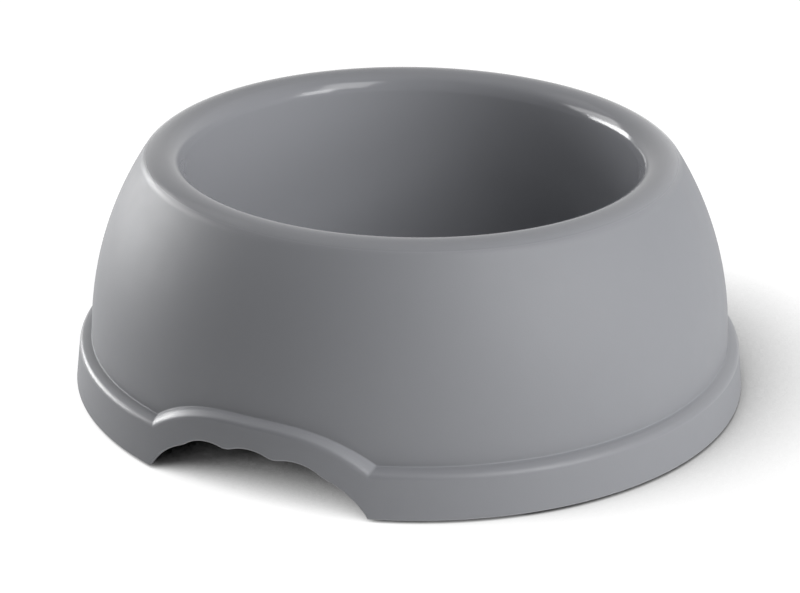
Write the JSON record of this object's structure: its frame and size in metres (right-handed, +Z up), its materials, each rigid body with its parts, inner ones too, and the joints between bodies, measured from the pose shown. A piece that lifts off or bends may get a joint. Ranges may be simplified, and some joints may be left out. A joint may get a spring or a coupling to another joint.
{
  "type": "pet food bowl",
  "caption": "Round hollow-skirted feeding bowl with a rolled rim, a stepped plinth, scalloped finger-grip arches on two opposite sides and push-in rubber feet.",
  "frame": {"origin": "on the floor under the middle of the bowl, in the plane of the feet's soles", "axes": "+Z up along the bowl's axis, +Y and -Y through the middles of the two finger grips, +X to the right seen from the -Y grip"},
  "size_m": [0.24, 0.236, 0.086],
  "materials": {
    "body_plastic": "grey moulded plastic, fine satin texture outside, polished on the rim and inside",
    "foot_rubber": "matt black rubber"
  },
  "bodies": {
    "root": {"bowl_body": "body_plastic", "foot_front_right": "foot_rubber", "foot_rear_right": "foot_rubber", "foot_rear_left": "foot_rubber", "foot_front_left": "foot_rubber"}
  },
  "joints": []
}
